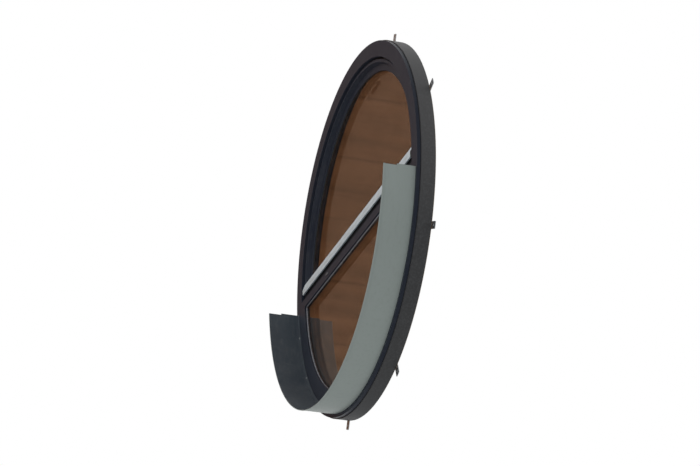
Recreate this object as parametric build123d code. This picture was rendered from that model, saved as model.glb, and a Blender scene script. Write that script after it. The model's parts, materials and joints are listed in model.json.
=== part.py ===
from build123d import *
import math
import os

# A round timber window clad in aluminium. The lower light is fixed. The upper light is a sash
# hinged at its foot, whose top tilts into the room. Origin: centre of the ring in the room face
# of its timber. X runs to the right seen from outside, Y into the room, Z up. Millimetres.

# Ring and wall
reveal_radius = 1000.0      # round opening of the wall that the window shows in
ring_cover = 20.0           # edge of the ring that the wall's reveal covers
frame_depth = 80.0          # timber, from the room face outwards
cladding_depth = 20.0       # aluminium in front of the timber
reveal_depth = 100.0        # from the wall's face to the front of the cladding
sheet = 2.0                 # wall of every aluminium profile
edge_break = 3.0            # chamfer along timber edges that show
sheet_break = 1.5           # chamfer along metal edges that show

# Upper light, the sash
ring_wall = 70.0            # timber of the ring outside the sash's rebate
sash_sight_level = 100.0    # above the window's axis
sash_width = 85.0           # timber, from the sight line outwards
sash_overlap = 20.0         # lip of the sash over the frame, in the room
sash_front = 55.0           # front of the sash timber, from the room face outwards
sash_proud = 18.0           # room face of the sash, from the room face of the frame inwards
overlap_gap = 3.0           # between the lip and the frame
rebate_gap = 5.0            # between the sash and the frame, all round
stop_reach = 18.0           # how far the frame's stop reaches in from its rebate
sash_rim = 60.0             # outer edge of the sash cladding, from the sight line outwards
sash_rim_width = 16.0
sash_cladding_front = 87.0
sash_panel_front = 63.0     # set-back band of the sash cladding
sash_lip_front = 61.5
lip_break = 2.0             # chamfer of the lip at the sight line
lip_edge = 0.5              # metal left at the lip's edge
fold_gap = 0.2              # between a folded leg and the rail behind it
rim_slope = 10.0
frame_gap = 10.0            # shadow gap between the frame's cladding and the sash's

# Lower light, fixed
ring_width = 145.0          # from the lower sight line to the outside of the ring
fixed_sight_level = -95.0
transom_face = 50.0         # height of the cladding that shows on the transom
fixed_seat = 14.5           # from the cladding's front to the lower glass

# Glass
rebate_cover = 25.0         # from the sight line to the timber behind the glass edge
block_height = 5.0          # packers between the glass edge and the timber
pane = 4.0
cavity = 20.0
seal_width = 6.0
spacer_width = 7.0
gasket_seat = 2.0           # from the sight line to the glazing gaskets
gasket_width = 10.0
gasket_thick = 3.0
outer_gasket_thick = 5.5
bead_slope = 12.0
bead_lengths = 4            # pieces that a curved bead is made of
fixed_bead_depth = 30.5
sash_bead_proud = 10.0      # the sash's beads stand this far into the room
block_length = 100.0
block_angle = 30.0          # each side of the foot, under the lower light
block_setback = 6.0         # from the front of the lower glass
block_place = 0.5           # share of the sash's half width

# Sill
sill_projection = 72.0      # beyond the wall's face
sill_bed = 2.0              # mortar bed under the sheet
sill_end_level = -100.0
sill_end_notch = 8.0
sill_upstand = 24.0
sill_hem = 10.0
sill_hem_thick = 4.0
hem_break = 1.2
sill_screw_count = 9
sill_screw_span = 150.0

# Seals and clips
seal_gap = 0.3              # left between a seal and what it meets
stop_seal_width = 8.0
overlap_seal_width = 8.0
clip_length = 30.0
clip_width = 14.0
clip_flange = 3.0
clip_waist = 2.0            # how much slimmer the stem is, each side
clip_count = 14
sash_clip_count = 7
sash_clip_start = 15.0      # degrees above level
rail_clip_count = 5
rail_clip_reach = 700.0     # to each side of the middle

# Weather bar and rain rail
bar_fall = 20.0             # from the foot of its flange to the top of its nose
bar_nose = 30.0
bar_reach = 13.0            # nose in front of the sash
bar_lip = 8.0
bar_break = 0.8
bar_end_gap = 8.0
flange_gap = 1.0            # under the edge of the sash's rim
flange_rise = 2.0           # above the foot of the sash's rim
flange_stand = 8.0          # upright part of the flange
rail_cover = 15.0           # rail behind the transom's cladding
rail_end_gap = 4.0

# Sealing tape round the ring
tape_thick = 3.0
tape_inset = 2.0            # from the faces of the timber

# Fixing lugs
lug_count = 8
lug_thick = 3.0
lug_width = 40.0
lug_grip = 35.0             # inside the edge of the ring
lug_reach = 52.0            # beyond the edge of the ring
lug_round = 6.0
fixing_reach = 30.0         # wall holes beyond the edge of the ring
fixing_hole = 4.5
lug_screw_turn = 0.7        # degrees each side of the lug's middle

# Wood screws
shank_radius = 2.0
head_radius = 4.2
screw_head = 2.4
screw_length = 28.0
screw_play = 0.1

# Hinges
hinge_places = {"left": -560.0, "centre": 0.0, "right": 560.0}
hinge_drop = 5.0            # hinge axis below the sash's lip
knuckle_radius = 6.0
knuckle_clear = 0.5         # between a knuckle and the sash
pin_radius = 3.0
pin_play = 0.05
knuckle_length = 24.0
knuckle_gap = 0.4
leaf_thick = 2.5
leaf_height = 46.0
leaf_margin = 6.0           # beyond the knuckles
leaf_round = 4.0
leaf_screw_edge = 10.0      # outer screws, from the leaf's edge
leaf_screw_step = 20.0
sash_leaf_start = 7.0       # above the hinge axis
sash_leaf_screw_edge = 8.0
sash_leaf_screw_step = 16.0
arm_bite = 4.0              # how far the arms run up into their knuckles
pin_head_radius = 4.6
pin_head = 2.5
pin_tail = 1.5

# Handle and lock
handle_rise = 52.0          # above the sash's sight line
rosette_radius = 26.0
rosette_thick = 8.0
neck_radius = 9.0
neck_play = 0.3
handle_reach = 32.0         # rosette to the middle of the lever
lever_length = 128.0
lever_width = 20.0
lever_thick = 11.0
spindle_side = 7.0
bolt_travel = 14.0
bolt_nose_half = 8.0
bolt_thick = 6.0
bolt_play = 0.3
case_half = 24.0
case_drop = 19.0            # foot of the case below the spindle
case_wall = 1.5
case_front = 29.0
case_depth = 18.0
cam_radius = 12.5
cam_thick = 6.0
cam_pin_radius = 2.5
cam_slot_play = 0.45
faceplate_half = 70.0
faceplate_width = 24.0
faceplate_thick = 3.0
keep_half = 45.0
keep_thick = 2.5
keep_pocket = 12.0
pocket_gap = 0.2            # round the case, the faceplate and the keep

# Stay
stay_inset = 36.0           # below the top of the ring
stay_proud = 28.0
stay_start = -200.0
stay_length = 360.0
stay_arm_width = 14.0
stay_arm_thick = 4.0
stay_pin_radius = 3.0
stay_pin_drop = 22.0
stay_slot_play = 1.4
stay_slot_travel = 30.0
stay_plate = 3.0
stay_plate_drop = 6.0
slide_rise = 46.0           # foot of the sash's plate above the sight line
slide_screw_half = 12.0
slide_screw_rise = 12.0
slide_margin = 10.0         # beyond the slot, each side
bracket_half = 18.0
bracket_over = 8.0          # foot of the bracket above the arm
bracket_under = 16.0
bracket_screw_half = 8.0
bracket_screw_drop = 4.0
bracket_offset = 26.0       # from the pivot to the middle of the foot
arm_gap = 0.3               # above and below the arm at its pivot

# Worked out from the above
past = 1.0                  # how far a cutting shape runs past what it cuts
frame_radius = reveal_radius + ring_cover
far = 2 * frame_radius
front = -frame_depth - cladding_depth
rebate = sash_width + rebate_gap
stop = rebate - stop_reach
stop_back = -sash_front - rebate_gap
sash_sight_radius = frame_radius - ring_wall - rebate
fixed_sight_radius = frame_radius - ring_width
glass_edge = rebate_cover - block_height
unit = 2 * pane + cavity
sash_lip_back = sheet + lip_edge - sash_lip_front
sash_glass_front = -sash_lip_back - outer_gasket_thick
fixed_glass_front = -front - fixed_seat
fixed_lip_back = -fixed_glass_front - outer_gasket_thick
lug_inner = frame_radius - lug_grip
fixing_radius = frame_radius + fixing_reach
hinge_level = sash_sight_level - sash_width - sash_overlap - hinge_drop
hinge_proud = sash_proud + knuckle_radius + knuckle_clear
handle_level = sash_sight_radius + handle_rise
case_foot = handle_level - case_drop
stay_level = frame_radius - stay_inset
transom_top = fixed_sight_level + transom_face
upper = (sash_sight_radius, sash_sight_level, 1)
lower = (fixed_sight_radius, fixed_sight_level, -1)
shadow = (sash_sight_radius + sash_rim + frame_gap, transom_top, 1)
transom_seat = fixed_sight_radius + rebate_cover


def cylinder(radius, y0, y1, x=0.0, z=0.0):
    """A cylinder along Y."""
    low = (Align.CENTER, Align.CENTER, Align.MIN)
    return Pos(x, y0, z) * Rot(-90, 0, 0) * Cylinder(radius, y1 - y0, align=low)


def block(x0, x1, y0, y1, z0, z1):
    """A box between two corners."""
    size = (x1 - x0, y1 - y0, z1 - z0)
    return Pos(x0 + size[0] / 2, y0 + size[1] / 2, z0 + size[2] / 2) * Box(*size)


def bar_along_x(points, length):
    """A section of (y, z) points run along X, centred on the window."""
    face = Plane.YZ * make_face(Polyline(*points, close=True))
    return extrude(face, amount=length / 2, both=True)


def light(of, *points):
    """All that lies within an offset of one light's sight line. Each point is (offset, y), from
    the outside in. The sight line is a circle cut by a level chord, and so is each offset of it."""
    radius, level, side = of
    first, last = points[0][1], points[-1][1]
    turned = [(0, first)] + [(radius + d, y) for d, y in points] + [(0, last)]
    drawn = [(first, side * far)] + [(y, level - side * d) for d, y in points] + [(last, side * far)]
    round_part = revolve(make_face(Polyline(*turned, close=True)), axis=Axis.Y)
    return round_part & bar_along_x(drawn, far)


def border(of, inner, outer, y0, y1):
    """A flat band round a light, between two offsets of its sight line."""
    return light(of, (outer, y0), (outer, y1)) - light(of, (inner, y0 - past), (inner, y1 + past))


def above(level):
    return block(-far, far, -far, far, level, far)


def below(level):
    return block(-far, far, -far, far, -far, level)


def turned(part, angle):
    """Turns a part round the window's axis, from the +X side towards +Z."""
    return Rot(0, -angle, 0) * part


def spread(count, first, span):
    """Angles in degrees, evenly spaced over a span with both ends used."""
    return [first + span * i / (count - 1) for i in range(count)]


def into_timber(x, y, z):
    """A place that turns what is made along +Z to point outwards, along -Y."""
    return Pos(x, y, z) * Rot(90, 0, 0)


def screw(length=screw_length):
    """A countersunk wood screw along +Z, its head's face at 0."""
    low = (Align.CENTER, Align.CENTER, Align.MIN)
    head = Cone(head_radius, shank_radius, screw_head, align=low)
    shank = Cylinder(shank_radius, length - 3, align=low)
    tip = Pos(0, 0, length - 3) * Cone(shank_radius, 0.4, 3, align=low)
    recess = Pos(0, 0, 0.6) * Box(1.0, 4.0, 1.2) + Pos(0, 0, 0.6) * Box(4.0, 1.0, 1.2)
    return head + shank + tip - recess


def screw_bore(length=screw_length):
    """The hole for one screw, with its countersink."""
    low = (Align.CENTER, Align.CENTER, Align.MIN)
    wide = head_radius + screw_play
    sink = Cone(wide, shank_radius + screw_play, screw_head, align=low)
    mouth = Pos(0, 0, -1) * Cylinder(wide, 1, align=low)
    return sink + mouth + Cylinder(shank_radius + screw_play, length + 1, align=low)


# Where every wood screw goes, as places of its head. Frame first, then sash.
lug_angles = [(i + 0.5) * 360 / lug_count for i in range(lug_count)]
lug_screw_radius = (lug_inner + frame_radius) / 2
frame_leaf_low = hinge_level - knuckle_radius - leaf_height
sash_leaf_high = hinge_level + knuckle_radius + leaf_height
stay_bracket_x = stay_start - bracket_offset
slide_x = stay_start + stay_length - stay_slot_travel / 2
slide_foot = sash_sight_radius + slide_rise
faceplate_screw = 56.0


def frame_screw_places():
    places = []
    for angle in lug_angles:
        for off in (-lug_screw_turn, lug_screw_turn):
            places.append(turned(into_timber(lug_screw_radius, lug_thick, 0), angle + off))
    for x in hinge_places.values():
        for off in (-knuckle_length, knuckle_length):
            for rise in (leaf_screw_edge, leaf_screw_edge + leaf_screw_step):
                places.append(into_timber(x + off, leaf_thick, frame_leaf_low + rise))
    for off in (-bracket_screw_half, bracket_screw_half):
        places.append(into_timber(stay_bracket_x + off, stay_plate, stay_level - bracket_screw_drop))
    return places


def sash_screw_places():
    places = []
    for x in hinge_places.values():
        for off in (-sash_leaf_screw_edge, sash_leaf_screw_edge):
            for fall in (sash_leaf_screw_edge, sash_leaf_screw_edge + sash_leaf_screw_step):
                places.append(into_timber(x + off, sash_proud + leaf_thick, sash_leaf_high - fall))
    for off in (-slide_screw_half, slide_screw_half):
        places.append(into_timber(slide_x + off, sash_proud + stay_plate, slide_foot + slide_screw_rise))
    return places


def bored(part, places):
    for place in places:
        part = part - place * screw_bore()
    return part


def frame_timber():
    """Ring and transom in one, before they are parted."""
    ring = cylinder(frame_radius, -frame_depth, 0)
    upper_rebate = light(
        upper,
        (stop, -frame_depth - past),
        (stop, stop_back),
        (rebate, stop_back),
        (rebate, -edge_break),
        (rebate + edge_break + past, past),
    )
    lower_rebate = light(
        lower,
        (rebate_cover, -frame_depth - past),
        (rebate_cover, -edge_break),
        (rebate_cover + edge_break + past, past),
    )
    return ring - upper_rebate - lower_rebate


def sash_timber():
    body = light(
        upper,
        (sash_width, -sash_front),
        (sash_width, overlap_gap),
        (sash_width + sash_overlap, overlap_gap),
        (sash_width + sash_overlap, sash_proud - edge_break),
        (sash_width + sash_overlap - edge_break, sash_proud),
    )
    return body - light(upper, (rebate_cover, -sash_front - past), (rebate_cover, sash_proud + past))


def frame_cladding():
    """The front sheet of ring and transom with its folded legs, in one."""
    back = -frame_depth - sheet
    skin = cylinder(frame_radius - sheet, front, back)
    skin = skin - cylinder(frame_radius - 2 * sheet, front + sheet, back + past)
    upper_leg = border(shadow, 0, sheet, front + sheet, back - fold_gap)
    lower_leg = border(lower, 0, sheet, front + sheet, fixed_lip_back)
    mouth = [(sheet_break + past, front - past), (0, front + sheet_break), (0, back + past)]
    upper_hole = light(shadow, *mouth)
    lower_hole = light(lower, *mouth)
    return skin + (upper_leg & below(frame_radius)) + lower_leg - upper_hole - lower_hole


def sash_cladding():
    """Stepped front of the sash: a rim, a slope, a set-back band and the lip over the glass."""
    slope_top = sash_rim - sash_rim_width
    slope_foot = slope_top - rim_slope
    back = -sash_front - sheet
    body = light(
        upper,
        (sash_rim - sheet_break, -sash_cladding_front),
        (sash_rim, sheet_break - sash_cladding_front),
        (sash_rim, back),
    )
    lead = rim_slope / (sash_cladding_front - sash_panel_front)
    in_front = light(
        upper,
        (slope_top + lead * past, -sash_cladding_front - past),
        (slope_foot, -sash_panel_front),
        (lip_break, -sash_lip_front),
        (0, lip_break - sash_lip_front),
        (0, back + past),
    )
    hollow = light(upper, (sash_rim - sheet, sheet - sash_cladding_front), (sash_rim - sheet, back + past))
    skin = light(
        upper,
        (slope_top + sheet + lead * past, sheet - past - sash_cladding_front),
        (slope_foot + sheet, sheet - sash_panel_front),
        (gasket_seat, sash_lip_back),
    )
    return body - in_front - (hollow - skin)


def glazing(of, glass_front, name):
    """The sealed unit of one light: two panes, the spacer between them and the edge seal."""
    start = pane - glass_front
    end = start + cavity
    seal_inner = glass_edge - seal_width
    return {
        name + "_pane_outer": light(of, (glass_edge, -glass_front), (glass_edge, start)),
        name + "_pane_inner": light(of, (glass_edge, end), (glass_edge, end + pane)),
        name + "_edge_seal": border(of, seal_inner, glass_edge, start, end),
        name + "_spacer": border(of, seal_inner - spacer_width, seal_inner, start, end),
    }


def gaskets(of, glass_front, lip_back, name):
    """The seal rings in front of and behind one sealed unit."""
    outer, inner = gasket_seat + gasket_width, gasket_seat
    room_side = unit - glass_front
    return {
        name + "_gasket_outer": border(of, inner, outer, lip_back, -glass_front),
        name + "_gasket_inner": border(of, inner, outer, room_side, room_side + gasket_thick),
    }


def beads(of, start, end):
    """The timber beads that hold one unit from the room, before they are parted."""
    body = light(of, (rebate_cover, start), (rebate_cover, end))
    return body - light(of, (0, start - past), (0, end - bead_slope), (bead_slope + past, end + past))


def in_lengths(arc, first):
    """Cuts half a ring into equal lengths, from an angle in degrees on."""
    step = 180 / bead_lengths
    starts = [first + step * i for i in range(bead_lengths)]
    return [arc & turned(above(0), a) & turned(below(0), a + step) for a in starts]


def fixed_blocks():
    """Packers under the lower unit, on its curved edge."""
    start = block_setback - fixed_glass_front
    ring = border(lower, glass_edge, rebate_cover, start, unit - fixed_glass_front)
    half = block_length / 2
    wedge = block(-half, half, -far, far, -far, -fixed_sight_radius / 2)
    return [turned(wedge, a) & ring for a in (-block_angle, block_angle)]


def sash_blocks():
    """Packers under the sash's unit, on its straight edge."""
    top = sash_sight_level - glass_edge
    x = sash_sight_radius * block_place
    half = block_length / 2
    front_y, back_y = -sash_front, unit - sash_glass_front
    return [block(s * x - half, s * x + half, front_y, back_y, top - block_height, top) for s in (-1, 1)]


def clip(depth, width):
    """A moulded holder that keeps the cladding off the timber, along +Y from 0."""
    foot = block(-width / 2, width / 2, depth - clip_flange, depth, -clip_length / 2, clip_length / 2)
    head = block(-width / 2, width / 2, 0, clip_flange, -clip_length / 2, clip_length / 2)
    return foot + head + cylinder(width / 2 - clip_waist, clip_flange, depth - clip_flange)


def frame_clips():
    radius = (frame_radius + shadow[0]) / 2
    depth = cladding_depth - sheet
    one = Pos(radius, front + sheet, 0) * clip(depth, clip_width)
    return [turned(one, (i + 0.5) * 360 / clip_count) for i in range(clip_count)]


def sash_clips():
    width = sash_rim_width - 2 * sheet - past
    offset = sash_rim - sash_rim_width / 2
    start = sheet - sash_cladding_front
    depth = -sash_front - start
    one = Pos(sash_sight_radius + offset, start, 0) * clip(depth, width)
    arc = [turned(one, a) for a in spread(sash_clip_count, sash_clip_start, 180 - 2 * sash_clip_start)]
    flat = Pos(0, start, sash_sight_level - offset) * Rot(0, 90, 0) * clip(depth, width)
    places = spread(rail_clip_count, -rail_clip_reach, 2 * rail_clip_reach)
    return arc + [Pos(x, 0, 0) * flat for x in places]


def sill_section():
    """The sheet's section as (radius, y): upstand at the frame, the tray and the hem at its nose."""
    outer = reveal_radius - sill_bed
    nose = front - reveal_depth - sill_projection
    inner = outer - sheet
    hem = inner + sill_hem_thick
    return [
        (outer - sill_upstand, front - sheet),
        (outer - sill_upstand, front),
        (outer, front),
        (outer, nose + sill_hem),
        (hem, nose + sill_hem),
        (hem, nose + hem_break),
        (hem - hem_break, nose),
        (inner + hem_break, nose),
        (inner, nose + hem_break),
        (inner, front - sheet),
    ]


def sill():
    tray = revolve(make_face(Polyline(*sill_section(), close=True)), axis=Axis.Y) & below(sill_end_level)
    wall_face = front - reveal_depth
    notch = block(-far, far, -far, wall_face, sill_end_level - sill_end_notch, far)
    tray = tray - notch
    for place in sill_screw_places():
        tray = tray - place * Cylinder(shank_radius + screw_play, 20)
    return tray


def sill_screw_places():
    radius = reveal_radius - sill_bed - sill_upstand / 2
    first = -90 - sill_screw_span / 2
    return [
        turned(Pos(radius, front - sheet, 0) * Rot(-90, 0, 0), a)
        for a in spread(sill_screw_count, first, sill_screw_span)
    ]


def sill_screw():
    """A round-head screw with its sealing washer, along +Z from the sheet."""
    low = (Align.CENTER, Align.CENTER, Align.MIN)
    high = (Align.CENTER, Align.CENTER, Align.MAX)
    washer = Cylinder(6.0, 1.0, align=high)
    head = Pos(0, 0, -1) * Cylinder(4.0, 2.6, align=high)
    head = fillet(head.edges().filter_by(GeomType.CIRCLE).sort_by(Axis.Z)[0], 1.6)
    socket = Pos(0, 0, -3.6) * extrude(RegularPolygon(1.6, 6), amount=1.6)
    return washer + head - socket + Cylinder(shank_radius, 34, align=low)


def weather_bar():
    """A folded rain bar on the foot of the sash: fixing flange, slope, upright nose and drip lip."""
    seat = -sash_cladding_front
    flange_top = sash_sight_level - sash_rim + sash_rim_width - flange_gap
    flange_foot = sash_sight_level - sash_rim + flange_rise
    nose = seat - bar_reach
    top = flange_foot - bar_fall
    foot = top - bar_nose
    slope_start = (seat - sheet, flange_foot + flange_stand)
    section = [
        (seat, flange_foot),
        (seat, flange_top),
        (seat - sheet, flange_top),
        slope_start,
        (nose + bar_break, top + bar_break),
        (nose, top - bar_break),
        (nose, foot + bar_break),
        (nose + bar_break, foot),
        (nose + bar_lip, foot),
        (nose + bar_lip, foot + sheet),
        (nose + sheet, foot + sheet),
        (nose + sheet, top - sheet),
        (seat - sheet, flange_foot),
    ]
    return bar_along_x(section, 2 * (sash_sight_radius + sash_rim - bar_end_gap))


def rain_rail():
    """The angle that covers the front and the top of the transom's stop."""
    lip = sash_sight_level - stop
    foot = transom_top - rail_cover
    section = [
        (-frame_depth, foot),
        (-frame_depth, lip),
        (stop_back, lip),
        (stop_back, lip + sheet),
        (-frame_depth - sheet, lip + sheet),
        (-frame_depth - sheet, foot),
    ]
    return bar_along_x(section, far) & cylinder(shadow[0] - rail_end_gap, front, 0)


def sealing_tape():
    """The foam tape that closes the joint between the ring and the wall."""
    start, end = tape_inset - frame_depth, -tape_inset
    return cylinder(frame_radius + tape_thick, start, end) - cylinder(frame_radius, start - past, end + past)


def lug():
    """One fixing lug, standing out along +X, its wall hole beyond the ring."""
    half = lug_width / 2
    plate = block(lug_inner, frame_radius + lug_reach, 0, lug_thick, -half, half)
    plate = fillet(plate.edges().filter_by(Axis.Y), lug_round)
    return plate - cylinder(fixing_hole, -past, lug_thick + past, fixing_radius, 0)


def eye(x0, x1):
    """One hinge knuckle round the hinge axis."""
    low = (Align.CENTER, Align.CENTER, Align.MIN)
    place = Pos(x0, hinge_proud, hinge_level) * Rot(0, 90, 0)
    return place * Cylinder(knuckle_radius, x1 - x0, align=low)


def eye_bore(x):
    place = Pos(x, hinge_proud, hinge_level) * Rot(0, 90, 0)
    return place * Cylinder(pin_radius + pin_play, 6 * knuckle_length)


def hinge_frame_leaf(x):
    """Leaf on the transom with two arms that carry the pin."""
    half = knuckle_length / 2 + knuckle_gap
    outer = half + knuckle_length
    edge = outer + leaf_margin
    under = hinge_level - knuckle_radius
    leaf = block(x - edge, x + edge, 0, leaf_thick, frame_leaf_low, under - 2)
    leaf = fillet(leaf.edges().filter_by(Axis.Y), leaf_round)
    for side in (-1, 1):
        x0, x1 = sorted((x + side * half, x + side * outer))
        arm = block(x0, x1, 0, hinge_proud, under - leaf_margin, under + arm_bite)
        leaf = leaf + arm + eye(x0, x1)
    return leaf - eye_bore(x)


def hinge_sash_leaf(x):
    """Leaf on the sash with the middle knuckle."""
    half = knuckle_length / 2
    back = sash_proud
    edge = half + leaf_margin
    leaf = block(x - edge, x + edge, back, back + leaf_thick, hinge_level + sash_leaf_start, sash_leaf_high)
    leaf = fillet(leaf.edges().filter_by(Axis.Y), leaf_round)
    neck = block(
        x - half, x + half, back + knuckle_clear, hinge_proud, hinge_level, hinge_level + 2 * knuckle_radius
    )
    return leaf + neck + eye(x - half, x + half) - eye_bore(x)


def hinge_pin(x):
    low = (Align.CENTER, Align.CENTER, Align.MIN)
    half = knuckle_length * 1.5 + knuckle_gap
    place = Pos(x - half, hinge_proud, hinge_level) * Rot(0, 90, 0)
    head = Pos(0, 0, -pin_head) * Cylinder(pin_head_radius, pin_head, align=low)
    return place * (head + Cylinder(pin_radius, 2 * half + pin_tail, align=low))


# The lock stands behind the handle, at the top of the sash
bolt_back = -case_front + case_wall + bolt_play
bolt_front = bolt_back + bolt_thick
cam_reach = bolt_travel / 2 / math.sin(math.radians(45))
nose_rest = sash_sight_radius + sash_width - 2.0
nose_root = nose_rest - 19.0
tail_half = cam_reach + cam_pin_radius + 2.2
tail_foot = case_foot + case_wall + 2.0
lock_middle = (bolt_back + bolt_front) / 2


def lock_case():
    top = sash_sight_radius + sash_width - faceplate_thick - 1
    shell = block(-case_half, case_half, -case_front, case_depth - case_front, case_foot, top)
    w = case_wall
    room = block(
        w - case_half, case_half - w, w - case_front, case_depth - case_front - w, case_foot + w, top - w
    )
    way = bolt_nose_half + bolt_play
    slot = block(-way, way, w - case_front, bolt_front + bolt_play, top - w - past, far)
    return shell - room - slot - cylinder(spindle_side * 0.8, -cam_thick - 10, 0, 0, handle_level)


def lock_bolt():
    """Flat bolt with a cross slot for the cam's pin, drawn back at rest."""
    tail = block(-tail_half, tail_half, bolt_back, bolt_front, tail_foot, nose_root)
    nose = block(-bolt_nose_half, bolt_nose_half, bolt_back, bolt_front, nose_root - 1, nose_rest)
    nose = chamfer(nose.edges().filter_by(Axis.X).group_by(Axis.Z)[-1], 1.2)
    pin_z = handle_level - bolt_travel / 2
    reach = cam_pin_radius + cam_slot_play
    x0 = bolt_travel / 2 - reach
    slot = block(x0, cam_reach + reach, bolt_back - 1, bolt_front + 1, pin_z - reach, pin_z + reach)
    return tail + nose - slot


def spindle_cam():
    start = bolt_front + bolt_play
    disc = cylinder(cam_radius, start, start + cam_thick, 0, handle_level)
    place = (bolt_travel / 2, handle_level - bolt_travel / 2)
    pin = cylinder(cam_pin_radius, bolt_back + 0.5, start, *place)
    half = spindle_side / 2 + 0.1
    hole = block(-half, half, start - 1, start + cam_thick + 1, handle_level - half, handle_level + half)
    return disc + pin - hole


def curved_strip(inner, thick, half, y0, y1):
    """A strip bent to the ring, centred on the window's top."""
    ring = cylinder(inner + thick, y0, y1) - cylinder(inner, y0 - 1, y1 + 1)
    return ring & block(-half, half, -far, far, 0, far)


def faceplate():
    inner = sash_sight_radius + sash_width - faceplate_thick
    half = faceplate_width / 2
    strip = curved_strip(inner, faceplate_thick, faceplate_half, lock_middle - half, lock_middle + half)
    return strip - bolt_window(0.6) - edge_bores()


def bolt_window(play):
    """The clear way for the bolt's nose."""
    x = bolt_nose_half + play
    return block(-x, x, bolt_back - play, bolt_front + play, nose_root, far)


def edge_screw_places():
    """Screws through the faceplate, pointing at the window's axis."""
    radius = sash_sight_radius + sash_width
    turn = math.degrees(math.asin(faceplate_screw / radius))
    return [turned(Pos(radius, lock_middle, 0) * Rot(0, -90, 0), 90 + s * turn) for s in (-1, 1)]


def edge_bores():
    return sum((place * screw_bore() for place in edge_screw_places()), Part())


def keep_screw_places():
    """Screws through the keep, pointing away from the window's axis."""
    radius = sash_sight_radius + rebate
    turn = math.degrees(math.asin((keep_half - 14) / radius))
    return [turned(Pos(radius, lock_middle, 0) * Rot(0, 90, 0), 90 + s * turn) for s in (-1, 1)]


def keep():
    inner = sash_sight_radius + rebate
    half = faceplate_width / 2
    strip = curved_strip(inner, keep_thick, keep_half, lock_middle - half, lock_middle + half)
    return bored(strip - bolt_window(1.2), keep_screw_places())


def lock_pockets(sash):
    """Pocket for the case, seat for the faceplate and bore for the spindle."""
    g = pocket_gap
    top = sash_sight_radius + sash_width
    room = block(
        -case_half - g, case_half + g, -case_front - g, case_depth - case_front + g, case_foot - g, top + 10
    )
    low, high = lock_middle - faceplate_width / 2 - g, lock_middle + faceplate_width / 2 + g
    seat = curved_strip(top - faceplate_thick, 12, faceplate_half + g, low, high)
    seat = seat & block(-far, far, -far, overlap_gap - 1, 0, far)
    bore = cylinder(spindle_side * 0.8, -case_depth, sash_proud + 1, 0, handle_level)
    return sash - room - seat - bore


def keep_pockets(ring):
    inner = sash_sight_radius + rebate
    half = faceplate_width / 2 + pocket_gap
    seat = curved_strip(
        inner - 2, keep_thick + 2, keep_half + pocket_gap, lock_middle - half, lock_middle + half
    )
    way = bolt_nose_half + 2
    hole = block(-way, way, bolt_back - 2, bolt_front + 2, inner - 3, inner + keep_pocket)
    return ring - seat - hole


def rosette():
    end = sash_proud + rosette_thick
    body = cylinder(rosette_radius, sash_proud, end, 0, handle_level)
    body = fillet(body.edges().filter_by(GeomType.CIRCLE).sort_by(Axis.Y)[-1], 2.5)
    return body - cylinder(neck_radius + neck_play, sash_proud - past, end + past, 0, handle_level)


def handle():
    """Neck, spindle and lever. The lever lies level when the bolt is drawn back."""
    start = sash_proud + 0.5
    middle = sash_proud + rosette_thick + handle_reach
    neck = cylinder(neck_radius, start, middle, 0, handle_level)
    half = spindle_side / 2
    cam_start = bolt_front + bolt_play
    spindle = block(-half, half, cam_start + 0.3, start + 1, handle_level - half, handle_level + half)
    lever = block(
        -lever_length,
        lever_width / 2,
        middle - lever_thick / 2,
        middle + lever_thick / 2,
        handle_level - lever_width / 2,
        handle_level + lever_width / 2,
    )
    lever = fillet(lever.edges().filter_by(Axis.Y), lever_width / 2 - 0.2)
    lever = fillet(lever.edges().group_by(Axis.Y)[0] + lever.edges().group_by(Axis.Y)[-1], 3)
    return neck + spindle + lever


def stay_bracket():
    """Foot on the ring and a post that carries the stay's pivot."""
    x = stay_bracket_x
    low, high = stay_level - bracket_under, stay_level + bracket_over
    foot = block(x - bracket_half, x + bracket_half, 0, stay_plate, low, high)
    foot = fillet(foot.edges().filter_by(Axis.Y), 3)
    arm_low = stay_level - stay_arm_thick / 2 - arm_gap - stay_plate
    shelf = block(x + 4, stay_start + 8, 0, stay_proud + 8, arm_low, arm_low + stay_plate)
    shelf = fillet(shelf.edges().filter_by(Axis.Z).group_by(Axis.Y)[-1], 5)
    return foot + shelf - Pos(stay_start, stay_proud, stay_level) * Cylinder(stay_pin_radius + pin_play, 40)


def stay_pivot():
    low = (Align.CENTER, Align.CENTER, Align.MIN)
    foot = -stay_arm_thick / 2 - arm_gap - stay_plate
    pin = Pos(0, 0, foot - 1.5) * Cylinder(stay_pin_radius, stay_plate + stay_arm_thick + 2.4, align=low)
    head = Pos(0, 0, stay_arm_thick / 2 + arm_gap) * Cylinder(5.5, 2, align=low)
    rivet = Pos(0, 0, foot - 2) * Cylinder(4.5, 2, align=low)
    return Pos(stay_start, stay_proud, stay_level) * (pin + head + rivet)


def stay_arm():
    """The arm lies along X at rest. Its end pin hangs through the slot of the sash's plate."""
    high = (Align.CENTER, Align.CENTER, Align.MAX)
    half = stay_arm_width / 2
    arm = block(0, stay_length, -half, half, -stay_arm_thick / 2, stay_arm_thick / 2)
    ends = Cylinder(half, stay_arm_thick)
    arm = arm + ends + Pos(stay_length, 0, 0) * ends
    arm = arm - Cylinder(stay_pin_radius + pin_play, 20)
    rib = block(30, stay_length - 30, -2.5, 2.5, stay_arm_thick / 2 - 0.1, stay_arm_thick / 2 + 1.5)
    pin = Pos(stay_length, 0, 0) * Cylinder(stay_pin_radius, stay_pin_drop, align=high)
    return Pos(stay_start, stay_proud, stay_level) * (arm + rib + pin)


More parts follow.
